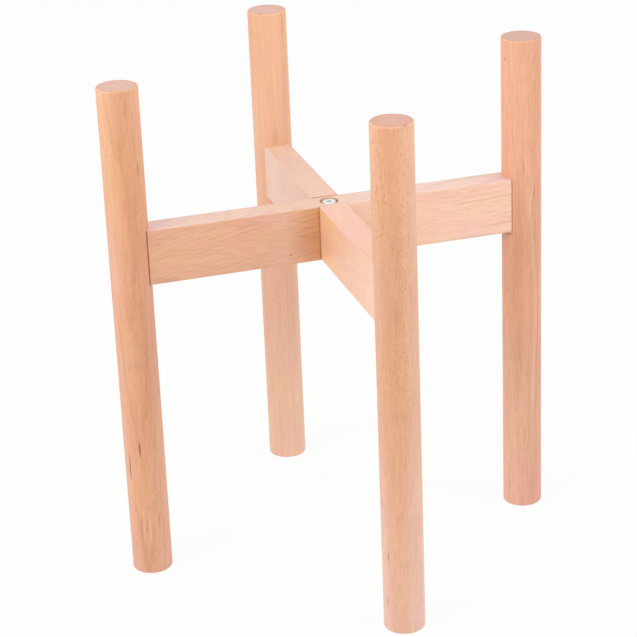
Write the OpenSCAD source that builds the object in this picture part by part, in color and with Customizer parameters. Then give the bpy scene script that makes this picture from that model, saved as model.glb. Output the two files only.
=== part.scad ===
// A plant stand: four round legs carried by two crossbars that are half-lapped
// at the centre and held by one bolt. The pot stands on the crossbars, between
// the legs. Millimetres, +Z up, the origin on the floor under the bolt. The
// upper crossbar runs along X, the lower one along Y.

/* [Legs] */
// Diameter of the four round legs
leg_d = 28; // [24:0.5:40]
// Height of the legs, from the floor to their tops
leg_h = 356; // [280:1:600]
// Distance between the axes of two opposite legs
leg_spacing = 283; // [180:1:420]
// Radius of the eased rim at both ends of a leg
leg_ease = 1.2; // [0.4:0.1:3]

/* [Crossbars] */
// Height of the crossbars' top faces above the floor
bar_top = 256; // [80:1:270]
// Height of a crossbar, between its lower and upper faces
bar_h = 39; // [34:0.5:60]
// Thickness of a crossbar, between its side faces
bar_t = 19.5; // [16:0.5:22]
// Radius of the eased long edges of a crossbar
bar_ease = 1; // [0.3:0.1:2]
// Gap between the tips of a crossbar's hollowed end and the leg
tip_gap = 1.2; // [0:0.1:1.5]

/* [Cross lap] */
// Gap between a crossbar's sides and the notch that it sits in
lap_clear = 0.2; // [0.05:0.05:0.3]
// Extra width of the lower crossbar's notch, open behind the upper crossbar
lap_gap = 0.5; // [0:0.1:1]

/* [Dowels] */
// Diameter of the dowels that pin each crossbar end to its leg
dowel_d = 8; // [5:0.5:10]
// Length of a dowel, half in the leg and half in the crossbar
dowel_l = 30; // [20:1:36]
// Distance between the two dowels of a joint, one above the other
dowel_pitch = 20; // [12:0.5:22]
// Chamfer at both ends of a dowel
dowel_ease = 0.8; // [0.2:0.1:1.5]
// Free depth for glue beyond each end of a dowel
glue_room = 1; // [0.5:0.5:2]

/* [Bolt] */
// Diameter of the bolt's thread, which is drawn plain
bolt_d = 5; // [4:0.5:6]
// Length of the bolt's thread inside the insert
thread_grip = 8; // [5:0.5:10]
// Chamfer at the bolt's tip
tip_ease = 0.6; // [0.3:0.1:1]
// Diameter of the bolt's flat head
head_d = 9.5; // [8.5:0.5:11]
// Height of the bolt's head
head_h = 2.75; // [2.25:0.25:3.75]
// Chamfer round the head's top
head_ease = 0.5; // [0.2:0.1:0.8]
// Depth of the head's top below the crossbars' top faces
head_recess = 0.25; // [0:0.05:1.5]
// Width of the hexagonal socket, between two flats
socket_af = 3; // [2.5:0.5:4]
// Depth of the hexagonal socket
socket_depth = 1.5; // [1:0.25:2]
// Diameter of the counterbore round the head
counterbore_d = 13; // [12.5:0.1:15]
// Clearance all round the bolt in the upper crossbar
bolt_clear = 0.4; // [0.2:0.1:0.8]

/* [Washer] */
// Diameter of the washer under the head
washer_d = 12; // [11:0.5:12]
// Thickness of the washer
washer_t = 1; // [0.8:0.1:2]
// Clearance all round the bolt in the washer
washer_clear = 0.2; // [0.1:0.05:0.4]

/* [Threaded insert] */
// Outer diameter of the insert in the lower crossbar
insert_d = 10; // [8:0.5:12]
// Length of the insert
insert_l = 10; // [8:0.5:13]
// Depth of the insert's top below the floor of the notch
insert_recess = 0.5; // [0:0.1:1]
// Clearance all round the bolt in the insert
thread_clear = 0.05; // [0.02:0.01:0.1]
// Free depth of the hole beyond the bolt and the insert
tip_room = 1; // [0.5:0.5:2]

/* [Hidden] */
// The leg at each crossbar end, in the order of the quarter turns from +X
LEGS = ["right", "back", "left", "front"];
// The two dowels of a joint
LEVELS = ["upper", "lower"];

leg_axis = leg_spacing / 2;
// Where a crossbar's end meets the leg's round face, on the crossbar's axis
joint_face = leg_axis - leg_d / 2;
// Where the blunt tips of its hollowed end lie
tip_face = leg_axis - sqrt(pow(leg_d / 2, 2) - pow(bar_t / 2, 2)) - tip_gap;
bar_bottom = bar_top - bar_h;
// The crossing's upper half is the upper crossbar's, its lower half the lower's.
lap_z = bar_top - bar_h / 2;
dowel_depth = dowel_l / 2 + glue_room;
dowel_zs = [lap_z + dowel_pitch / 2, lap_z - dowel_pitch / 2];
// The bolt's head stands on the washer, which lies in the counterbore.
head_top = bar_top - head_recess;
head_seat = head_top - head_h;
washer_seat = head_seat - washer_t;
insert_top = lap_z - insert_recess;
bolt_tip = insert_top - thread_grip;
insert_hole_bottom = insert_top - max(insert_l, thread_grip) - tip_room;
leg_wood = [0.92, 0.71, 0.55];
bar_wood = [0.93, 0.75, 0.62];
dowel_wood = [0.85, 0.66, 0.48];
steel = [0.80, 0.81, 0.83];
brass = [0.80, 0.66, 0.36];
// Cuts run this far past the faces that they open.
cut = 1;
$fn = 96;

// A rectangle of the given width and height with rounded corners.
module eased_rectangle(width, height, ease) {
    square([width - 2 * ease, height], center = true);
    square([width, height - 2 * ease], center = true);
    for (x = [-1, 1], y = [-1, 1])
        translate([x * (width / 2 - ease), y * (height / 2 - ease)])
            circle(r = ease);
}

// A round rod standing on z = 0, both rims rounded.
module eased_rod(diameter, height, ease) {
    rotate_extrude()
        intersection() {
            translate([0, height / 2])
                eased_rectangle(diameter, height, ease);
            square([diameter / 2, height]);
        }
}

// Half the outline of a rod standing on y = 0. A chamfer of 0 leaves that end
// square.
module rod_profile(diameter, height, chamfer_low, chamfer_high) {
    r = diameter / 2;
    polygon([
        [0, 0], [r - chamfer_low, 0], [r, chamfer_low],
        [r, height - chamfer_high], [r - chamfer_high, height], [0, height]
    ]);
}

// The holes for the two dowels of the joint at +X, along X, measured from the
// face where leg and crossbar meet.
module dowel_holes(from, to) {
    for (z = dowel_zs)
        translate([joint_face + from, 0, z])
            rotate([0, 90, 0])
                cylinder(d = dowel_d, h = to - from);
}

// The leg at +X, drilled for its dowels.
module leg() {
    color(leg_wood)
        difference() {
            translate([leg_axis, 0, 0])
                eased_rod(leg_d, leg_h, leg_ease);
            dowel_holes(-cut, dowel_depth);
        }
}

// A crossbar along X before it is notched: both ends are hollowed to sit
// against the round legs, with blunt tips, and drilled for the dowels.
module crossbar_blank() {
    difference() {
        translate([-tip_face, 0, lap_z])
            rotate([90, 0, 90])
                linear_extrude(2 * tip_face)
                    eased_rectangle(bar_t, bar_h, bar_ease);
        for (angle = [0, 180])
            rotate([0, 0, angle]) {
                translate([leg_axis, 0, bar_bottom - cut])
                    cylinder(d = leg_d, h = bar_h + 2 * cut);
                dowel_holes(-dowel_depth, leg_d / 2);
            }
    }
}

// The crossbar along X. Its notch opens downwards over the lower crossbar, and
// the bolt's head and the washer lie in its counterbore.
module crossbar_upper() {
    notch = bar_t + 2 * lap_clear;
    color(bar_wood)
        difference() {
            crossbar_blank();
            translate([-notch / 2, -bar_t / 2 - cut, bar_bottom - cut])
                cube([notch, bar_t + 2 * cut, bar_h / 2 + cut]);
            translate([0, 0, bar_bottom])
                cylinder(d = bolt_d + 2 * bolt_clear, h = bar_h);
            translate([0, 0, washer_seat])
                cylinder(d = counterbore_d, h = bar_h);
        }
}

// The crossbar along Y. Its notch opens upwards, is a little wider behind the
// upper crossbar, and holds the threaded insert in its floor.
module crossbar_lower() {
    notch_front = bar_t / 2 + lap_clear;
    notch_back = notch_front + lap_gap;
    color(bar_wood)
        difference() {
            rotate([0, 0, 90])
                crossbar_blank();
            translate([-bar_t / 2 - cut, -notch_front, lap_z])
                cube([bar_t + 2 * cut, notch_front + notch_back, bar_h / 2 + cut]);
            translate([0, 0, insert_hole_bottom])
                cylinder(d = insert_d, h = bar_h);
        }
}

// One of the two dowels of the joint at +X, centred on the joint's face.
module dowel(level) {
    color(dowel_wood)
        translate([joint_face - dowel_l / 2, 0, dowel_zs[level]])
            rotate([0, 90, 0])
                rotate_extrude()
                    rod_profile(dowel_d, dowel_l, dowel_ease, dowel_ease);
}

// The bolt: a low, flat head with a hexagonal socket, and a plain shank that
// stands for the threaded one and runs up into the head.
module centre_bolt() {
    color(steel)
        difference() {
            rotate_extrude() {
                translate([0, bolt_tip])
                    rod_profile(bolt_d, head_seat + head_h / 2 - bolt_tip, tip_ease, 0);
                translate([0, head_seat])
                    rod_profile(head_d, head_h, 0, head_ease);
            }
            translate([0, 0, head_top - socket_depth])
                cylinder(d = socket_af / cos(30), h = socket_depth + cut, $fn = 6);
        }
}

// The flat washer between the bolt's head and the counterbore's floor.
module bolt_washer() {
    color(steel)
        translate([0, 0, washer_seat])
            difference() {
                cylinder(d = washer_d, h = washer_t);
                translate([0, 0, -cut])
                    cylinder(d = bolt_d + 2 * washer_clear, h = washer_t + 2 * cut);
            }
}

// The insert that the bolt screws into, its threads drawn plain.
module threaded_insert() {
    color(brass)
        translate([0, 0, insert_top - insert_l])
            difference() {
                cylinder(d = insert_d, h = insert_l);
                translate([0, 0, -cut])
                    cylinder(d = bolt_d + 2 * thread_clear, h = insert_l + 2 * cut);
            }
}

for (i = [0:len(LEGS) - 1]) {
    rotate([0, 0, i * 90]) leg();
    for (level = [0:len(LEVELS) - 1])
        rotate([0, 0, i * 90]) dowel(level);
}
crossbar_upper();
crossbar_lower();
centre_bolt();
bolt_washer();
threaded_insert();
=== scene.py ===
"""A beech plant stand: four round legs on two crossbars, joined by one bolt."""

import math
from typing import NamedTuple

import bpy
from mathutils import Matrix, Vector


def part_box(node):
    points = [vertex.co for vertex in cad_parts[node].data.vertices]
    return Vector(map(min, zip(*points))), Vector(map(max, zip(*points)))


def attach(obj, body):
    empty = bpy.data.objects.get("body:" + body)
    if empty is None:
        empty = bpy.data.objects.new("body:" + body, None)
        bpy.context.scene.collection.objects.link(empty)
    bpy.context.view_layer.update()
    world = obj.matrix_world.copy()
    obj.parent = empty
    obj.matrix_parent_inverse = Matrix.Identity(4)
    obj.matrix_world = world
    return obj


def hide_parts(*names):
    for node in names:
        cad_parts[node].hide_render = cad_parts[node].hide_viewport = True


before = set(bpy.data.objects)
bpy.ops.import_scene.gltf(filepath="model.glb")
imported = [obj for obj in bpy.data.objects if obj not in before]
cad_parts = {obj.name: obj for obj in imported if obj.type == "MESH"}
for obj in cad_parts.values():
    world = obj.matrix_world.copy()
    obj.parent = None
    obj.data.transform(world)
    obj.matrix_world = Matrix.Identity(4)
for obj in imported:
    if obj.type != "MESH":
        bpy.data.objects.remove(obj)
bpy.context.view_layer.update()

MM = 0.001
UP = Vector((0, 0, 1))
ACROSS = Vector((1, 0, 0))
DEEP = Vector((0, 1, 0))
TAU = 2 * math.pi
# The direction of each row of dowels and the legs that it joins.
DOWEL_ROWS = {"across": (ACROSS, ("right", "left")), "deep": (DEEP, ("back", "front"))}
LEVELS = ("upper", "lower")


def facing(bearing):
    """The level direction at a bearing in degrees, from the front (-Y) towards +X."""
    angle = math.radians(bearing)
    return Vector((math.sin(angle), -math.cos(angle), 0))


def box_of(node):
    """The low and the high corner of a plain node's box."""
    low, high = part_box(node)
    return Vector(low), Vector(high)


# ---------------------------------------------------------------- Camera

# The view was fitted to the outlines of the legs and crossbars in the photograph. The
# lens and the sensor are in mm.
CAMERA_BEARING = -16.005
CAMERA_ELEVATION = math.radians(22.96)
CAMERA_ROLL = math.radians(-2.389)
CAMERA_DISTANCE = 1554.2 * MM
CAMERA_TARGET = Vector((-11 * MM, 0, 169.85 * MM))
CAMERA_LENS = 125.42
SENSOR_WIDTH = 36


def make_camera():
    level = facing(CAMERA_BEARING)
    back = math.cos(CAMERA_ELEVATION) * level + math.sin(CAMERA_ELEVATION) * UP
    right = UP.cross(level)
    up = back.cross(right)
    rolled_right = math.cos(CAMERA_ROLL) * right + math.sin(CAMERA_ROLL) * up
    rolled_up = math.cos(CAMERA_ROLL) * up - math.sin(CAMERA_ROLL) * right
    turn = Matrix((rolled_right, rolled_up, back)).transposed().to_4x4()
    data = bpy.data.cameras.new("camera")
    data.lens = CAMERA_LENS
    data.sensor_width = SENSOR_WIDTH
    camera = bpy.data.objects.new("camera", data)
    camera.matrix_world = Matrix.Translation(CAMERA_TARGET + CAMERA_DISTANCE * back) @ turn
    bpy.context.scene.collection.objects.link(camera)
    bpy.context.scene.camera = camera


# ---------------------------------------------------------------- Node trees

class Graph:
    """A node tree being built. Most calls add a node and return its output."""

    def __init__(self, tree):
        self.tree = tree
        tree.nodes.clear()

    def add(self, kind, inputs=None, output=0, **settings):
        """The inputs are sockets to link or plain values, by name or by number."""
        node = self.tree.nodes.new(kind)
        for name, value in settings.items():
            setattr(node, name, value)
        for name, value in (inputs or {}).items():
            if isinstance(value, bpy.types.NodeSocket):
                self.tree.links.new(value, node.inputs[name])
            else:
                node.inputs[name].default_value = value
        return node.outputs[output] if node.outputs else None

    def math(self, operation, *values):
        return self.add("ShaderNodeMath", dict(enumerate(values)), operation=operation)

    def vector(self, operation, *values, output=0):
        return self.add(
            "ShaderNodeVectorMath", dict(enumerate(values)), output, operation=operation
        )

    def combine(self, x, y, z):
        return self.add("ShaderNodeCombineXYZ", {"X": x, "Y": y, "Z": z})

    def separate(self, vector):
        node = self.add("ShaderNodeSeparateXYZ", {"Vector": vector}).node
        return tuple(node.outputs)

    def dot(self, vector, direction):
        return self.vector("DOT_PRODUCT", vector, direction, output="Value")

    def length(self, vector):
        return self.vector("LENGTH", vector, output="Value")

    def scaled(self, vector, x, y, z):
        return self.vector("MULTIPLY", vector, (x, y, z))

    def noise(self, vector, detail, roughness=0.5, output=0):
        inputs = {"Vector": vector, "Scale": 1, "Detail": detail, "Roughness": roughness}
        return self.add("ShaderNodeTexNoise", inputs, output)

    def spread(self, value, low, high, to_low=0, to_high=1, smooth=True):
        """Maps low..high to to_low..to_high, and clamps."""
        inputs = {0: value, 1: low, 2: high, 3: to_low, 4: to_high}
        kind = "SMOOTHSTEP" if smooth else "LINEAR"
        return self.add("ShaderNodeMapRange", inputs, interpolation_type=kind)

    def mix(self, factor, first, second, blend="MIX"):
        return self.add(
            "ShaderNodeMix",
            {0: factor, 6: first, 7: second},
            output=2,
            data_type="RGBA",
            blend_type=blend,
        )

    def tint(self, colour, tint, factor):
        return self.mix(factor, colour, tint, "MULTIPLY")

    def ramp(self, factor, stops):
        """stops are (place, colour), from 0 to 1."""
        output = self.add("ShaderNodeValToRGB", {0: factor})
        elements = output.node.color_ramp.elements
        while len(elements) < len(stops):
            elements.new(1)
        for element, (place, colour) in zip(elements, stops):
            element.position = place
            element.color = colour
        return output

    def curve(self, value, points):
        """A smooth curve through (value, result) points, all from 0 to 1."""
        output = self.add("ShaderNodeFloatCurve", {"Value": value})
        mapping = output.node.mapping
        knots = mapping.curves[0].points
        while len(knots) < len(points):
            knots.new(0.5, 0.5)
        for knot, point in zip(knots, sorted(points)):
            knot.location = point
        mapping.update()
        return output

    def bump(self, height, strength, distance):
        inputs = {"Height": height, "Strength": strength, "Distance": distance}
        return self.add("ShaderNodeBump", inputs)

    def surface(self, colour, roughness, normal, metallic=0):
        """Ends a material's tree in one principled shader."""
        shader = self.add("ShaderNodeBsdfPrincipled", {
            "Base Color": colour,
            "Metallic": metallic,
            "Roughness": roughness,
            "Normal": normal,
        })
        self.add("ShaderNodeOutputMaterial", {"Surface": shader})


def new_material(name):
    material = bpy.data.materials.new(name)
    material.use_nodes = True
    return material, Graph(material.node_tree)


def seen_directly(graph):
    """1 for the rays that show the background: to the camera, and mirrored or refracted."""
    path = graph.add("ShaderNodeLightPath").node
    camera, glossy, through = (
        path.outputs[name]
        for name in ("Is Camera Ray", "Is Glossy Ray", "Is Transmission Ray")
    )
    return graph.math("MAXIMUM", camera, graph.math("MAXIMUM", glossy, through))


# ---------------------------------------------------------------- Studio

# How bright the studio is to all but the rays that show the background.
AMBIENT = 0.84
FLOOR_SIZE = 8
FLOOR_WHITE = (0.9, 0.9, 0.9, 1)
# How much of the floor's white glows. The rest is lit, and keeps the shadow.
FLOOR_GLOW = 0.9
WHITE = (1, 1, 1, 1)
# Each softbox: bearing, height above the floor, distance and side in metres, and power
# in watts.
SOFTBOXES = {
    "left_softbox": (-70, 1.1, 1.6, 0.9, 9),
    "right_softbox": (55, 1.0, 1.8, 0.9, 7),
}


def make_world():
    world = bpy.data.worlds.new("studio")
    world.use_nodes = True
    bpy.context.scene.world = world
    graph = Graph(world.node_tree)
    strength = graph.spread(seen_directly(graph), 0, 1, AMBIENT, 1, smooth=False)
    background = graph.add("ShaderNodeBackground", {"Color": WHITE, "Strength": strength})
    graph.add("ShaderNodeOutputWorld", {"Surface": background})


def make_floor():
    half = FLOOR_SIZE / 2
    corners = [(-half, -half, 0), (half, -half, 0), (half, half, 0), (-half, half, 0)]
    mesh = bpy.data.meshes.new("floor")
    mesh.from_pydata(corners, [], [(0, 1, 2, 3)])
    floor = bpy.data.objects.new("floor", mesh)
    bpy.context.scene.collection.objects.link(floor)
    material, graph = new_material("floor_white")
    mesh.materials.append(material)
    paint = graph.add("ShaderNodeBsdfDiffuse", {"Color": FLOOR_WHITE})
    glow = graph.add("ShaderNodeEmission", {"Color": WHITE, "Strength": 1})
    share = graph.math("MULTIPLY", seen_directly(graph), FLOOR_GLOW)
    surface = graph.add("ShaderNodeMixShader", {0: share, 1: paint, 2: glow})
    graph.add("ShaderNodeOutputMaterial", {"Surface": surface})


def make_softboxes():
    for name, (bearing, height, distance, side, power) in SOFTBOXES.items():
        data = bpy.data.lights.new(name, "AREA")
        data.shape = "SQUARE"
        data.size = side
        data.energy = power
        place = distance * facing(bearing) + height * UP
        light = bpy.data.objects.new(name, data)
        light.location = place
        aim = CAMERA_TARGET - place
        light.rotation_euler = aim.to_track_quat("-Z", "Y").to_euler()
        bpy.context.scene.collection.objects.link(light)


make_camera()
make_world()
make_floor()
make_softboxes()
bpy.context.scene.view_settings.view_transform = "Standard"


# ---------------------------------------------------------------- Wood

# Albedos of the pale oiled beech, among them some painted sheen and shade.
GOLD = (0.795, 0.405, 0.208, 1)
GINGER = (0.785, 0.405, 0.225, 1)
RUSSET = (0.765, 0.402, 0.217, 1)
# Partly wood tone, partly painted shade of the upper crossbar's inner corner.
EMBER_SHADE = (0.76, 0.417, 0.193, 1)
TAWNY = (0.84, 0.44, 0.233, 1)
HONEY = (0.775, 0.42, 0.25, 1)
AMBER = (0.80, 0.445, 0.265, 1)
PEACH = (0.82, 0.475, 0.305, 1)
RUDDY = (0.88, 0.475, 0.283, 1)
WHEAT = (0.825, 0.50, 0.335, 1)
PINK = (0.86, 0.49, 0.345, 1)
SAND = (0.83, 0.52, 0.355, 1)
APRICOT = (0.905, 0.53, 0.287, 1)
MELON = (0.92, 0.514, 0.317, 1)
BUFF = (0.89, 0.545, 0.35, 1)
FLAX = (0.943, 0.558, 0.323, 1)
STRAW = (0.95, 0.60, 0.38, 1)
CREAM = (0.89, 0.565, 0.36, 1)
BISQUE = (0.93, 0.62, 0.43, 1)
ROSE = (0.925, 0.63, 0.465, 1)
# Painted sheen: the paler top of the lower crossbar.
CORAL_SHEEN = (0.96, 0.60, 0.44, 1)
DUSK = (0.84, 0.59, 0.455, 1)
BLOSSOM = (0.955, 0.635, 0.468, 1)
BLOOM = (0.975, 0.715, 0.54, 1)
# Painted sheen: the paler top of the upper crossbar.
PALE_SHEEN = (0.955, 0.70, 0.60, 1)
BROWN = (0.66, 0.40, 0.23, 1)
# Albedos of the end grain, which soaks up more oil.
END_GRAIN = (0.81, 0.475, 0.375, 1)
END_PALE = (0.80, 0.49, 0.385, 1)
END_RED = (0.81, 0.43, 0.325, 1)
END_DULL = (0.745, 0.43, 0.34, 1)
# What the figure and the painted light do to those colours, as multipliers.
LATE_WOOD = (0.81, 0.74, 0.675, 1)
FIBRE = (0.885, 0.86, 0.845, 1)
# Also painted shade, in the darker bands down some legs' sides.
BAND_AND_SHADE = (0.94, 0.885, 0.835, 1)
HEARTWOOD = (0.92, 0.87, 0.85, 1)
BLUSH = (0.99, 0.95, 1.04, 1)
RAY_FLECK = (0.80, 0.69, 0.59, 1)
# Also painted shade and shadow, where a mark stands for them.
STREAK_AND_SHADOW = (0.50, 0.30, 0.20, 1)
# Painted sheen: paler, bluer sides of a leg, where its faces look across the pith.
SIDE_SHEEN = (1.08, 1.23, 1.48, 1)
# Painted highlight on the eased rims between a piece's sides and its ends.
EASED_EDGE_HIGHLIGHT = (1.06, 1.09, 1.12, 1)
END_RIM = (0.98, 0.95, 0.89, 1)
# Also painted sheen, in a paler band up the left leg's side.
PALE_VEIN_AND_SHEEN = (1.09, 1.20, 1.28, 1)

# How large the noise of each figure is in mm, across the grain and along it.
DRIFT_SIZE = (24, 75)
FADING_SIZE = (13, 55)
FIBRE_SIZE = (0.9, 11)
BAND_SIZE = (3.2, 60)
PATCH_SIZE = (16, 42)
# Where in its noise each figure starts, and where it is full.
FADING_RANGE = (0.38, 0.62)
FIBRE_RANGE = (0.35, 0.72)
END_FIBRE_RANGE = (0.35, 0.65)
BAND_RANGE = (0.36, 0.66)
BLUSH_RANGE = (0.35, 0.65)

# Where in a ring the late wood is darkest, from where it fades into the next ring, and
# over how many times the late wood's own share it darkens.
LATE_PEAK = 0.9
LATE_END = 0.92
LATE_SOFTNESS = 1.5
# How much of its contrast a ring keeps in the weakest year, where it fades, in calm
# wood and in the end grain.
WEAK_YEAR = 0.3
FADED_RING = 0.15
CALM_RING = 0.4
END_RING = 0.6
# The chance, from 0 to 1, from which a year's ring has its full contrast.
FULL_YEARS_FROM = 0.8

# A ray fleck's cell in mm, round the tree, towards the pith and along the grain.
FLECK_CELL = (1.1, 9, 3.4)
# A fleck's edge as a share of its cell, and the chance from which it shows in full.
FLECK_EDGE = (0.12, 0.55)
FLECK_CHANCE = 0.7
# The noise in which flecks grow rarer, and how many stay there and at a leg's foot.
SPARSE_RANGE = (0.35, 0.6)
SPARSE_FLECKS = 0.35
FOOT_FLECKS = 0.28

# The range of how squarely a face looks along an axis, as a cosine, over which one
# kind of face passes into another.
FLAT_SAWN = (0.3, 0.75)
QUARTER_SAWN = (0.7, 1)
TOP_FACE = (0.6, 0.9)
END_FACE = (0.75, 0.95)
SIDE_EASE = (0.05, 0.35)
END_EASE = (0.95, 0.7)
# How far from its axis the end grain of a leg darkens, in mm.
RIM_RANGE = (9, 13)

# How deep a mark goes, in mm, how much the fibre frays it, and its soft edge.
MARK_DEPTH = 2
MARK_FRAYING = 1.6
MARK_EDGE = (0.35, 1.1)
# The range of bearings that a vein's curve covers, the share of its width that is as
# strong as its middle, and the share of its length over which it fades at each end.
VEIN_SWING = 360
VEIN_CORE = 0.3
VEIN_FADE = 0.15

# How far the rings lie below the fibre in the relief, and how strong and deep it is.
RING_RELIEF = -0.4
RELIEF_STRENGTH = 0.15
RELIEF_DEPTH = 0.15 * MM
# The range of the fibre's noise over which the wood's roughness changes, and that
# roughness at both ends.
ROUGHNESS_RANGE = (0.2, 0.8)
WOOD_ROUGHNESS = (0.4, 0.52)


class Mark(NamedTuple):
    """A dark streak along the grain, also used as painted shade and shadow where parts meet:
    its place from the piece's centre and size, in mm.
    """

    centre: Vector
    outward: Vector
    length: float
    width: float
    strength: float


class Vein(NamedTuple):
    """A line or soft band up a leg, some of them painted shade and sheen. Its places are
    heights in mm and bearings.
    """

    places: tuple
    width: float
    strength: float
    tint: tuple = PALE_VEIN_AND_SHEEN


class Timber(NamedTuple):
    """How a piece was cut from its tree. The centre is in metres, all lengths in mm."""

    centre: Vector
    along: Vector
    to_pith: Vector
    # The colours along the piece, from 0 to 1 between the two places of its reach.
    tones: tuple
    reach: tuple
    # The distance to the pith, the slope of the grain, and that slope's change per mm.
    pith: float = 70
    lean: float = 0
    bow: float = 0
    # The width of a ring, the share of it that is late wood, and the grain's wandering.
    ring: float = 2.6
    late: float = 0.35
    waviness: float = 2
    # How strong each part of the figure is.
    ring_contrast: float = 0.6
    fibre: float = 0.6
    bands: float = 0.6
    flecks: float = 0.35
    heart: float = 0
    # The painted sheen on the sides that look across the pith.
    sapwood: float = 0
    # The place above which no fleck is left out, and the two places between which the
    # rings gain their contrast.
    flecks_from: float = 0
    calm: tuple = ()
    marks: tuple = ()
    veins: tuple = ()
    # Its own colours for the upper face, paler as painted sheen, and for the ends.
    top_tones: tuple = ()
    end_tone: tuple = END_GRAIN


class Figure(NamedTuple):
    """The sockets that say what the wood is like at each point of a piece."""

    place: bpy.types.NodeSocket
    along: bpy.types.NodeSocket
    rings: bpy.types.NodeSocket
    flecks: bpy.types.NodeSocket
    fibre: bpy.types.NodeSocket
    bands: bpy.types.NodeSocket
    patches: bpy.types.NodeSocket
    normal: bpy.types.NodeSocket


LEG_LOW, LEG_HIGH = box_of("leg_right")
LEG_RADIUS = (LEG_HIGH.y - LEG_LOW.y) / 2
LEG_HEIGHT = LEG_HIGH.z
LEG_REACH = LEG_HIGH.x - LEG_RADIUS
BAR_LOW, BAR_HIGH = box_of("crossbar_upper")
BAR_MIDDLE = (BAR_LOW.z + BAR_HIGH.z) / 2


def leg_mark(height, bearing, *size):
    """A mark on a leg's round face, this far above the floor and at this bearing."""
    outward = facing(bearing)
    return Mark(LEG_RADIUS / MM * outward + height * UP, outward, *size)


def front_mark(right, height, *size):
    """A mark on the upper crossbar's front, this far right of the bolt and above the floor."""
    centre = Vector((right, BAR_LOW.y / MM, height - BAR_MIDDLE / MM))
    return Mark(centre, facing(0), *size)


def grain_axes(timber):
    """The axes of a piece's grain: to the pith, sideways and along."""
    return timber.to_pith, timber.along.cross(timber.to_pith), timber.along


def grain_places(graph, timber):
    """The place in the piece's grain axes, in mm."""
    place = graph.add("ShaderNodeTexCoord", output="Object")
    place = graph.vector("SUBTRACT", place, timber.centre)
    return graph.combine(*(graph.dot(place, axis / MM) for axis in grain_axes(timber)))


def grain_noise(graph, place, size, detail, roughness=0.5, output=0):
    """Noise that is stretched along the grain."""
    across, along = size
    stretched = graph.scaled(place, 1 / across, 1 / across, 1 / along)
    return graph.noise(stretched, detail, roughness, output)


def wavy_place(graph, place, timber):
    """The place shifted across the grain, so that the grain wanders."""
    drift = grain_noise(graph, place, DRIFT_SIZE, detail=3, roughness=0.6, output="Color")
    drift = graph.vector("SUBTRACT", drift, (0.5, 0.5, 0.5))
    amount = 2 * timber.waviness
    return graph.vector("ADD", place, graph.scaled(drift, amount, amount, 0))


def tree_places(graph, place, timber):
    """The place in the tree: its distance and bearing from the pith, and along it."""
    to_pith, sideways, along = graph.separate(place)
    slope = graph.math("MULTIPLY_ADD", along, timber.bow / 2, timber.lean)
    depth = graph.math("MULTIPLY_ADD", along, slope, timber.pith)
    depth = graph.math("SUBTRACT", depth, to_pith)
    radius = graph.length(graph.combine(depth, sideways, 0))
    bearing = graph.math("ARCTAN2", sideways, depth)
    return radius, bearing, along


def ring_lines(graph, place, radius, along, timber):
    """0 in the early wood, rising to the ring's end, more in some years than in others."""
    rings = graph.math("DIVIDE", radius, timber.ring)
    share = graph.math("FRACT", rings)
    number = graph.math("FLOOR", rings)
    year = graph.add("ShaderNodeTexWhiteNoise", {"W": number}, noise_dimensions="1D")
    start = LATE_PEAK - LATE_SOFTNESS * timber.late
    rise, fall = graph.spread(share, start, LATE_PEAK), graph.spread(share, LATE_END, 1)
    lines = graph.math("SUBTRACT", rise, fall)
    lines = graph.math("MULTIPLY", lines, graph.spread(year, 0, FULL_YEARS_FROM, WEAK_YEAR, 1))
    fading = grain_noise(graph, place, FADING_SIZE, detail=1)
    lines = graph.math("MULTIPLY", lines, graph.spread(fading, *FADING_RANGE, FADED_RING, 1))
    if timber.calm:
        lines = graph.math("MULTIPLY", lines, graph.spread(along, *timber.calm, CALM_RING))
    return lines


def ray_flecks(graph, radius, bearing, along, timber):
    """Thin spindles along the grain, each a ray seen end on."""
    round_tree, to_pith, length = FLECK_CELL
    place = graph.combine(
        graph.math("MULTIPLY", bearing, timber.pith / round_tree),
        graph.math("DIVIDE", radius, to_pith),
        graph.math("DIVIDE", along, length),
    )
    cells = graph.add("ShaderNodeTexVoronoi", {"Vector": place, "Scale": 1}).node
    chance = graph.separate(cells.outputs["Color"])[0]
    spindle = graph.spread(cells.outputs["Distance"], *FLECK_EDGE, 1, 0)
    flecks = graph.math("MULTIPLY", spindle, graph.spread(chance, 0, FLECK_CHANCE))
    if timber.flecks_from:
        rising = graph.spread(along, 0, timber.flecks_from, FOOT_FLECKS)
        flecks = graph.math("MULTIPLY", flecks, rising)
    return flecks


def make_figure(graph, timber):
    place = grain_places(graph, timber)
    wavy = wavy_place(graph, place, timber)
    radius, bearing, along = tree_places(graph, wavy, timber)
    return Figure(
        place=place,
        along=along,
        rings=ring_lines(graph, place, radius, along, timber),
        flecks=ray_flecks(graph, radius, bearing, along, timber),
        fibre=grain_noise(graph, wavy, FIBRE_SIZE, detail=3, roughness=0.6),
        bands=grain_noise(graph, wavy, BAND_SIZE, detail=2),
        patches=grain_noise(graph, place, PATCH_SIZE, detail=2),
        normal=graph.add("ShaderNodeTexCoord", output="Normal"),
    )


def mark_mask(graph, place, fibre, timber):
    """The dark streaks and the painted shade and shadows, with edges frayed by the fibre."""
    frayed = graph.math("MULTIPLY_ADD", fibre, MARK_FRAYING, -MARK_FRAYING / 2)
    axes = grain_axes(timber)
    mask = 0.0
    for mark in timber.marks:
        across = timber.along.cross(mark.outward)
        away = graph.vector("SUBTRACT", place, [mark.centre.dot(axis) for axis in axes])
        side = graph.dot(away, [across.dot(axis) * 2 / mark.width for axis in axes])
        offset = graph.combine(
            graph.math("ADD", side, frayed),
            graph.dot(away, [mark.outward.dot(axis) / MARK_DEPTH for axis in axes]),
            graph.dot(away, (0, 0, 2 / mark.length)),
        )
        strength = graph.spread(graph.length(offset), *MARK_EDGE, mark.strength, 0)
        mask = graph.math("MAXIMUM", mask, strength)
    return mask


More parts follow.
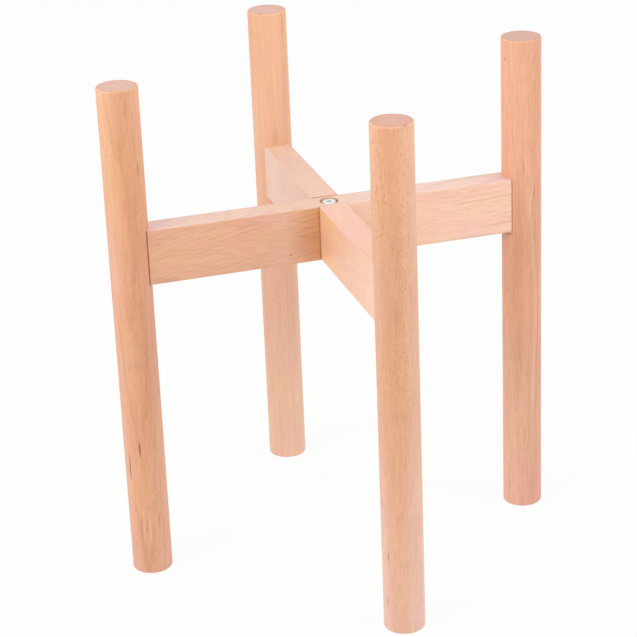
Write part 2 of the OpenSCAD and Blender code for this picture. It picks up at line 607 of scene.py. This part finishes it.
def vein_mask(graph, place, timber, vein):
    """A line that wanders up a leg, fading out at both ends."""
    to_pith, sideways, height = graph.separate(place)
    pith_bearing = math.degrees(math.atan2(timber.to_pith.x, -timber.to_pith.y))
    low, high = vein.places[0][0], vein.places[-1][0]
    points = [
        ((at - low) / (high - low), 0.5 + (bearing - pith_bearing) / VEIN_SWING)
        for at, bearing in vein.places
    ]
    share = graph.spread(height, low, high, smooth=False)
    centre = graph.curve(share, points)
    swing = math.radians(VEIN_SWING)
    bearing = graph.math("ARCTAN2", sideways, to_pith)
    bearing = graph.math("MULTIPLY_ADD", bearing, 1 / swing, 0.5)
    apart = graph.math("ABSOLUTE", graph.math("SUBTRACT", bearing, centre))
    half_width = vein.width / 2 / (LEG_RADIUS / MM) / swing
    line = graph.spread(apart, VEIN_CORE * half_width, half_width, vein.strength, 0)
    rise, fall = graph.spread(share, 0, VEIN_FADE), graph.spread(share, 1, 1 - VEIN_FADE)
    return graph.math("MULTIPLY", line, graph.math("MULTIPLY", rise, fall))


def tone_along(graph, figure, timber, tones):
    start, end = timber.reach
    return graph.ramp(graph.spread(figure.along, start, end, smooth=False), tones)


def squarely(graph, figure, axis):
    """How squarely a face looks along an axis, either way."""
    return graph.math("ABSOLUTE", graph.dot(figure.normal, axis))


def side_colour(graph, figure, timber):
    """The colour of the faces that run along the grain."""
    facing_pith = squarely(graph, figure, timber.to_pith)
    colour = tone_along(graph, figure, timber, timber.tones)
    # Painted sheen: the upper faces take their own paler colours.
    if timber.top_tones:
        upper = graph.spread(graph.dot(figure.normal, UP), *TOP_FACE)
        colour = graph.mix(upper, colour, tone_along(graph, figure, timber, timber.top_tones))
    for tint, noise, limits, strength in (
        (BLUSH, figure.patches, BLUSH_RANGE, 1),
        (BAND_AND_SHADE, figure.bands, BAND_RANGE, timber.bands),
        (FIBRE, figure.fibre, FIBRE_RANGE, timber.fibre),
    ):
        colour = graph.tint(colour, tint, graph.spread(noise, *limits, 0, strength))
    rings = graph.math("MULTIPLY", figure.rings, timber.ring_contrast)
    colour = graph.tint(colour, LATE_WOOD, rings)
    flat_sawn = graph.spread(facing_pith, *FLAT_SAWN, 0, timber.flecks)
    sparse = graph.spread(figure.patches, *SPARSE_RANGE, 1, SPARSE_FLECKS)
    flecks = graph.math("MULTIPLY", figure.flecks, sparse)
    colour = graph.tint(colour, RAY_FLECK, graph.math("MULTIPLY", flecks, flat_sawn))
    if timber.heart:
        half = LEG_RADIUS / MM
        to_pith = graph.separate(figure.place)[0]
        inner = graph.spread(to_pith, -half, half, 0, timber.heart)
        colour = graph.tint(colour, HEARTWOOD, inner)
    # Painted sheen: the sides that look across the pith grow paler and bluer.
    if timber.sapwood:
        side_sheen_mask = graph.spread(facing_pith, *QUARTER_SAWN, timber.sapwood, 0)
        colour = graph.tint(colour, SIDE_SHEEN, side_sheen_mask)
    for vein in timber.veins:
        colour = graph.tint(colour, vein.tint, vein_mask(graph, figure.place, timber, vein))
    return colour


def end_colour(graph, figure, timber):
    """The colour of the end grain, darker at its rim."""
    rings = graph.math("MULTIPLY", figure.rings, END_RING)
    colour = graph.tint(timber.end_tone, LATE_WOOD, rings)
    colour = graph.tint(colour, FIBRE, graph.spread(figure.fibre, *END_FIBRE_RANGE))
    from_axis = graph.length(graph.scaled(figure.place, 1, 1, 0))
    return graph.tint(colour, END_RIM, graph.spread(from_axis, *RIM_RANGE))


def make_wood(name, timber):
    material, graph = new_material(name)
    figure = make_figure(graph, timber)
    facing_along = squarely(graph, figure, timber.along)
    off_side = graph.spread(facing_along, *SIDE_EASE)
    off_end = graph.spread(facing_along, *END_EASE)
    colour = side_colour(graph, figure, timber)
    # Painted highlight along the eased rims.
    colour = graph.tint(colour, EASED_EDGE_HIGHLIGHT, graph.math("MULTIPLY", off_side, off_end))
    ends = graph.spread(facing_along, *END_FACE)
    colour = graph.mix(ends, colour, end_colour(graph, figure, timber))
    if timber.marks:
        marks = mark_mask(graph, figure.place, figure.fibre, timber)
        colour = graph.tint(colour, STREAK_AND_SHADOW, marks)
    relief = graph.math("MULTIPLY_ADD", figure.rings, RING_RELIEF, figure.fibre)
    graph.surface(
        colour,
        graph.spread(figure.fibre, *ROUGHNESS_RANGE, *WOOD_ROUGHNESS, smooth=False),
        graph.bump(relief, RELIEF_STRENGTH, RELIEF_DEPTH),
    )
    return material


def leg_timber(leg, pith_bearing, tones, **facts):
    low, high = box_of(f"leg_{leg}")
    centre = (low + high) / 2
    centre.z = 0
    to_pith = facing(pith_bearing)
    return Timber(centre, UP, to_pith, tones, (0, LEG_HEIGHT / MM), **facts)


def bar_timber(along, to_pith, tones, **facts):
    middle = BAR_MIDDLE * UP
    reach = LEG_REACH / MM
    return Timber(middle, along, to_pith.normalized(), tones, (-reach, reach), **facts)


def dowel_timber(along):
    middle = BAR_MIDDLE * UP
    tones = ((0, BROWN), (1, BROWN))
    return Timber(middle, along, UP, tones, (0, 1), pith=30, ring=1.6, waviness=1)


# A leg's marks are given by height, bearing, length, width and strength.
TIMBERS = {
    "leg_left": leg_timber(
        "left", -20, ((0, HONEY), (0.1, GINGER), (0.6, GINGER), (0.8, GOLD), (1, TAWNY)),
        pith=68.6, lean=-0.05, ring=5, late=0.16, ring_contrast=0.5, fibre=0.9,
        flecks=0.5, sapwood=0.5, end_tone=END_PALE,
        marks=(
            leg_mark(98, -24, 16, 1.6, 0.95),
            leg_mark(83, -60, 26, 1.6, 0.95),
            leg_mark(53, -82, 7, 1.4, 0.7),
            leg_mark(35, -36, 28, 1.1, 0.45),
            leg_mark(40, -19, 17, 1.1, 0.4),
            leg_mark(33, -2, 22, 1.0, 0.25),
            leg_mark(41, 18, 16, 1.1, 0.45),
            leg_mark(155, 42, 9, 1.1, 0.45),
            leg_mark(123, 2, 6, 1.0, 0.4),
            leg_mark(343, 7, 16, 1.0, 0.3),
            leg_mark(301, 34, 15, 1.7, 0.65),
        ),
        veins=(
            Vein(((26, -27), (55, -29)), 1.3, 0.8),
            Vein(((24, -10), (52, -12)), 1.3, 0.9),
            Vein(((28, 9), (54, 6)), 1.3, 0.8),
            # Painted sheen: a paler band up the leg's left side near its top.
            Vein(((195, -50), (400, -50)), 17, 0.45),
            Vein(((80, 10), (400, 8)), 14, 0.7, BAND_AND_SHADE),
        ),
    ),
    "leg_back": leg_timber(
        "back", -105, ((0, BISQUE), (0.35, SAND), (0.6, BUFF), (0.78, STRAW), (1, FLAX)),
        lean=0.02, ring=2.4, waviness=1.5, ring_contrast=0.25, bands=0.5, flecks=0.2,
        heart=1,
        marks=(
            leg_mark(356, -36, 2, 2.0, 0.7),
            leg_mark(345, 36, 24, 1.8, 0.4),
            leg_mark(264, -6, 14, 5, 0.15),
            leg_mark(134, -42, 1.4, 2.4, 0.3),
            leg_mark(133, -32, 1.4, 2.2, 0.2),
            leg_mark(131, -22, 1.4, 2.4, 0.25),
            leg_mark(129, -12, 1.4, 1.8, 0.2),
            leg_mark(45, -37, 1.4, 2.2, 0.25),
            # Painted shade: a long faint darkening down the leg's left side.
            leg_mark(325, -84, 110, 13, 0.12),
        ),
        veins=(
            # Painted shade: a darker band down the leg's right side near its top.
            Vein(((225, 42), (400, 42)), 15, 0.9, BAND_AND_SHADE),
        ),
    ),
    "leg_right": leg_timber(
        "right", 65,
        ((0, PINK), (0.34, PEACH), (0.46, RUDDY), (0.6, AMBER), (0.76, MELON), (1, MELON)),
        lean=0.012, ring=2.1, waviness=2.6, ring_contrast=0.4, fibre=0.9, flecks=0.2,
        heart=1, end_tone=END_DULL,
        marks=(
            leg_mark(342, -73, 3, 2.4, 0.6),
            leg_mark(341, 16, 7, 1.6, 0.25),
            leg_mark(266, -16, 14, 1.0, 0.3),
            leg_mark(247, 18, 13, 1.6, 0.4),
            # Painted shadow: the crossbar's contact shadow on the leg, under its end.
            leg_mark(215.5, -60, 3.5, 9, 0.4),
        ),
        veins=(
            Vein(
                ((60, 12), (114, 17), (164, 25), (214, 10), (237, 4), (252, 14), (275, 5)),
                2.1, 1,
            ),
            Vein(
                ((40, 4), (114, 10), (164, 18), (214, 3), (240, -3), (262, -9), (330, -4)),
                1.5, 0.5,
            ),
            Vein(
                ((50, 22), (114, 27), (164, 35), (214, 21), (237, 15)),
                1.8, 0.35, LATE_WOOD,
            ),
            # Painted shade: a darker band down the leg's right side near its top.
            Vein(((225, 35), (400, 35)), 15, 0.5, BAND_AND_SHADE),
            Vein(((85, -30), (180, -32), (275, -26)), 12, 0.7, BAND_AND_SHADE),
        ),
    ),
    "leg_front": leg_timber(
        "front", -30, ((0, WHEAT), (0.3, AMBER), (0.45, RUSSET), (0.75, RUSSET), (1, TAWNY)),
        lean=-0.03, ring=3.6, waviness=1.5, ring_contrast=0.1, fibre=1, bands=0.4,
        flecks=1, flecks_from=330, sapwood=0.8, end_tone=END_RED,
        marks=(
            leg_mark(356, 19, 3, 4.5, 0.5),
            leg_mark(233, -19, 26, 5, 0.15),
            leg_mark(57, -62, 11, 2.2, 0.45),
            leg_mark(95, -84, 8, 1.4, 0.7),
            leg_mark(23, -70, 9, 2, 0.4),
        ),
        veins=(
            Vein(((-40, 28), (100, 28)), 14, 0.5, BAND_AND_SHADE),
        ),
    ),
    "crossbar_upper": bar_timber(
        ACROSS, Vector((0, -0.25, -1)),
        # The tone just left of the crossing is partly wood and partly painted shade of the
        # inner corner.
        ((0, AMBER), (0.2, PEACH), (0.3, PEACH), (0.375, SAND), (0.465, EMBER_SHADE),
         (0.54, BLOOM), (0.66, BLOSSOM), (1, BLOSSOM)),
        # The top's paler colours are painted sheen.
        top_tones=((0, PALE_SHEEN), (0.5, ROSE), (0.6, PALE_SHEEN), (1, PALE_SHEEN)),
        pith=90, lean=-0.14, bow=0.001, ring=3.4, waviness=3, ring_contrast=0.68,
        fibre=1, bands=0.4, flecks=0.2, calm=(-130, -20),
        marks=(
            front_mark(-119, 219, 26, 5, 0.2),
            front_mark(-31.6, 224, 2.5, 1.5, 0.6),
            # Painted shade: a broad darkening beside the crossing's inner corner.
            front_mark(-16, 231, 30, 30, 0.19),
            # Painted shadow: a thin dark line in the corner where this face meets the front
            # arm.
            front_mark(-10.2, 236.5, 2.2, 90, 0.45),
        ),
    ),
    "crossbar_lower": bar_timber(
        DEEP, Vector((1, 0, -0.2)),
        ((0, ROSE), (0.3, CREAM), (0.42, APRICOT), (0.55, ROSE), (1, DUSK)),
        # The top's paler colours are painted sheen.
        top_tones=((0, CORAL_SHEEN), (0.4, CORAL_SHEEN), (0.6, ROSE), (1, ROSE)),
        pith=80, lean=0.05, ring=3.4, waviness=2.5, ring_contrast=0.15,
        bands=0.25, flecks=0.17,
    ),
}


# ---------------------------------------------------------------- Turned pieces

# The bolt is a flat-headed M5 screw, and the insert has its thread inside.
BOLT_RADIUS = 2.5 * MM
THREAD_PITCH = 0.8 * MM
THREAD_DEPTH = 0.43 * MM
THREAD_CLEAR = 0.05 * MM
THREAD_FADE = 0.8 * MM
# Half the width of the thread's crest and the width of a flank, in pitches.
CREST_HALF = 1 / 16
FLANK = 5 / 16
TIP_CHAMFER = 0.6 * MM
HEAD_HEIGHT = 2.75 * MM
HEAD_UNDERCUT = 0.1 * MM
HEAD_EASE = 0.5 * MM
SOCKET_WIDTH = 3 * MM
SOCKET_DEPTH = 1.5 * MM
SOCKET_CHAMFER = 0.15 * MM
WASHER_BORE = 2.7 * MM
WASHER_EASE = 0.18 * MM
# The washer ends this far under the bolt's head, so that their faces don't coincide.
WASHER_GAP = 0.02 * MM
# The insert's outer thread cuts into the wood like a knife. Half its ridge's width is
# in pitches.
KNIFE_PITCH = 3 * MM
KNIFE_HEIGHT = 1 * MM
KNIFE_HALF = 0.25
BORE_CHAMFER = 0.3 * MM
DOWEL_CHAMFER = 0.8 * MM
FLUTES = 18
FLUTE_DEPTH = 0.35 * MM
# How finely the turned pieces are drawn. The washer's turns are in degrees.
ROUND = 48
THREAD_STEP = 0.1 * MM
KNIFE_STEP = 0.25 * MM
RIM_RINGS = 4
WASHER_TURNS = (0, 30, 60, 90)
POINTS_PER_FLUTE = 6
SHARP_EDGE = math.radians(35)


def ring(centre, axis, radii):
    """Points round an axis, one for each radius."""
    first = ACROSS if axis == UP else UP
    second = axis.cross(first)
    step = TAU / len(radii)
    return [
        centre + radius * (math.cos(i * step) * first + math.sin(i * step) * second)
        for i, radius in enumerate(radii)
    ]


def level_ring(radius, height):
    return ring(height * UP, UP, [radius] * ROUND)


def skin(name, rings, closed=False):
    """A mesh through rings of equally many points. It is capped, or closes on itself."""
    count = len(rings[0])
    links = [(i, i + 1) for i in range(len(rings) - 1)]
    if closed:
        links.append((len(rings) - 1, 0))
    faces = [
        (low * count + i, low * count + (i + 1) % count,
         high * count + (i + 1) % count, high * count + i)
        for low, high in links
        for i in range(count)
    ]
    if not closed:
        faces.append(tuple(reversed(range(count))))
        faces.append(tuple(range(count * (len(rings) - 1), count * len(rings))))
    mesh = bpy.data.meshes.new(name)
    mesh.from_pydata([point for points in rings for point in points], [], faces)
    mesh.shade_smooth()
    mesh.set_sharp_from_angle(angle=SHARP_EDGE)
    return mesh


def steps(start, end, step):
    """Values from start to end, a step or a little less apart."""
    count = math.ceil(abs(end - start) / step)
    return [start + (end - start) * i / count for i in range(count + 1)]


def from_crest(height, pitch, turn):
    """How far a point is from a right-hand thread's crest, in pitches, up to a half."""
    share = (height / pitch - turn) % 1
    return min(share, 1 - share)


def thread_radii(height, crest, fade):
    """The radii of a metric thread at a height. Its flanks lean 30 degrees."""
    cuts = (
        (from_crest(height, THREAD_PITCH, i / ROUND) - CREST_HALF) / FLANK
        for i in range(ROUND)
    )
    return [crest - fade * THREAD_DEPTH * min(max(cut, 0), 1) for cut in cuts]


def hexagon(width):
    """The radii of a hexagon that is this wide between two flats."""
    sixth = TAU / 6
    return [
        width / 2 / math.cos((i * TAU / ROUND) % sixth - sixth / 2)
        for i in range(ROUND)
    ]


def bolt_mesh(low, high):
    """From the chamfered tip up the thread and over the head, down into the socket."""
    tip, top, head_radius = low.z, high.z, high.x
    seat = top - HEAD_HEIGHT
    rings = []
    for height in steps(tip, seat - THREAD_FADE, THREAD_STEP):
        fade = min(1, (seat - height) / THREAD_FADE - 1)
        chamfer = BOLT_RADIUS - TIP_CHAMFER + height - tip
        radii = thread_radii(height, BOLT_RADIUS, fade)
        rings.append(ring(height * UP, UP, [min(radius, chamfer) for radius in radii]))
    rings.append(level_ring(BOLT_RADIUS, seat))
    rings.append(level_ring(head_radius - HEAD_UNDERCUT, seat))
    rings.append(level_ring(head_radius, seat + HEAD_UNDERCUT))
    for i in range(RIM_RINGS + 1):
        angle = TAU / 4 * i / RIM_RINGS
        rings.append(level_ring(
            head_radius - HEAD_EASE * (1 - math.cos(angle)),
            top - HEAD_EASE * (1 - math.sin(angle)),
        ))
    socket = hexagon(SOCKET_WIDTH)
    rings.append(level_ring(max(socket) + SOCKET_CHAMFER, top))
    rings.append(ring((top - SOCKET_CHAMFER) * UP, UP, socket))
    rings.append(ring((top - SOCKET_DEPTH) * UP, UP, socket))
    return skin("bolt_flat_head", rings)


def washer_mesh(low, high):
    """Its four corners are rounded, one after the other."""
    inner, outer = WASHER_BORE + WASHER_EASE, high.x - WASHER_EASE
    bottom, top = low.z + WASHER_EASE, high.z - WASHER_GAP - WASHER_EASE
    corners = ((inner, bottom, 180), (outer, bottom, 270), (outer, top, 0), (inner, top, 90))
    rings = []
    for radius, height, bearing in corners:
        for turn in WASHER_TURNS:
            angle = math.radians(bearing + turn)
            rings.append(level_ring(
                radius + WASHER_EASE * math.cos(angle), height + WASHER_EASE * math.sin(angle)
            ))
    return skin("washer_flat", rings, closed=True)


def insert_mesh(low, high):
    """Up the outside with its knife thread, and down the inside with the bolt's."""
    body = high.x - KNIFE_HEIGHT
    rings = []
    for height in steps(low.z, high.z, KNIFE_STEP):
        fade = min(1, (height - low.z) / KNIFE_HEIGHT, (high.z - height) / KNIFE_HEIGHT)
        ridges = (
            max(0, 1 - from_crest(height, KNIFE_PITCH, i / ROUND) / KNIFE_HALF)
            for i in range(ROUND)
        )
        rings.append(ring(height * UP, UP, [body + fade * KNIFE_HEIGHT * r for r in ridges]))
    for height in steps(high.z, low.z, THREAD_STEP):
        to_end = min(height - low.z, high.z - height)
        chamfer = BOLT_RADIUS + THREAD_CLEAR + BORE_CHAMFER - to_end
        radii = thread_radii(height, BOLT_RADIUS + THREAD_CLEAR, 1)
        rings.append(ring(height * UP, UP, [max(radius, chamfer) for radius in radii]))
    return skin("insert_threaded", rings, closed=True)


def dowel_mesh(node, along, low, high):
    """A beech pin with straight flutes for the glue and chamfered ends."""
    size = high - low
    length = size.dot(along)
    radius = size.z / 2
    start = (low + high - length * along) / 2
    points = FLUTES * POINTS_PER_FLUTE
    fluted = [
        radius - FLUTE_DEPTH * max(0, math.cos(FLUTES * TAU * i / points))
        for i in range(points)
    ]
    chamfered = [min(r, radius - DOWEL_CHAMFER) for r in fluted]
    rings = [
        ring(start, along, chamfered),
        ring(start + DOWEL_CHAMFER * along, along, fluted),
        ring(start + (length - DOWEL_CHAMFER) * along, along, fluted),
        ring(start + length * along, along, chamfered),
    ]
    return skin(f"{node}_fluted", rings)


# ---------------------------------------------------------------- Metal

ZINC = (0.88, 0.87, 0.86, 1)
ZINC_DULL = (0.75, 0.735, 0.72, 1)
BRASS = (0.80, 0.60, 0.26, 1)
BRASS_DULL = (0.62, 0.43, 0.18, 1)
# The clouds' ranges over which the colour and the roughness change.
CLOUDS_PER_MM = 0.5
CLOUD_RANGE = (0.35, 0.7)
BLOOM_RANGE = (0.3, 0.7)
METAL_ROUGHNESS = (0.32, 0.48)
PITS_PER_MM = 6
PIT_STRENGTH = 0.1
PIT_DEPTH = 0.02 * MM


def make_metal(name, bright, dull):
    """Plated metal: fine pits, faint clouds where it is handled, and a dull bloom."""
    material, graph = new_material(name)
    place = graph.add("ShaderNodeTexCoord", output="Object")
    place = graph.scaled(place, 1 / MM, 1 / MM, 1 / MM)
    clouds = graph.noise(graph.scaled(place, *[CLOUDS_PER_MM] * 3), detail=3)
    pits = graph.noise(graph.scaled(place, *[PITS_PER_MM] * 3), detail=2)
    graph.surface(
        graph.mix(graph.spread(clouds, *CLOUD_RANGE), bright, dull),
        graph.spread(clouds, *BLOOM_RANGE, *METAL_ROUGHNESS, smooth=False),
        graph.bump(pits, PIT_STRENGTH, PIT_DEPTH),
        metallic=1,
    )
    return material


# ---------------------------------------------------------------- Assembly

def stand_in(node, mesh, material, body):
    """Puts a detailed mesh in the place of a plain node."""
    mesh.materials.append(material)
    piece = bpy.data.objects.new(mesh.name, mesh)
    bpy.context.scene.collection.objects.link(piece)
    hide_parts(node)
    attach(piece, body)


def dress(node, material):
    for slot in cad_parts[node].material_slots:
        slot.material = material


for node, timber in TIMBERS.items():
    dress(node, make_wood(node, timber))
zinc = make_metal("zinc", ZINC, ZINC_DULL)
brass = make_metal("brass", BRASS, BRASS_DULL)
for node, make_mesh, metal, body, slot in (
    ("centre_bolt", bolt_mesh, zinc, "bolt", "bolt_steel"),
    ("bolt_washer", washer_mesh, zinc, "washer", "bolt_steel"),
    ("threaded_insert", insert_mesh, brass, "stand", "insert_brass"),
):
    stand_in(node, make_mesh(*box_of(node)), metal, body)
for row, (along, legs) in DOWEL_ROWS.items():
    wood = make_wood(f"dowel_{row}", dowel_timber(along))
    for leg in legs:
        for level in LEVELS:
            node = f"dowel_{leg}_{level}"
            pin = dowel_mesh(node, along, *box_of(node))
            stand_in(node, pin, wood, "stand")
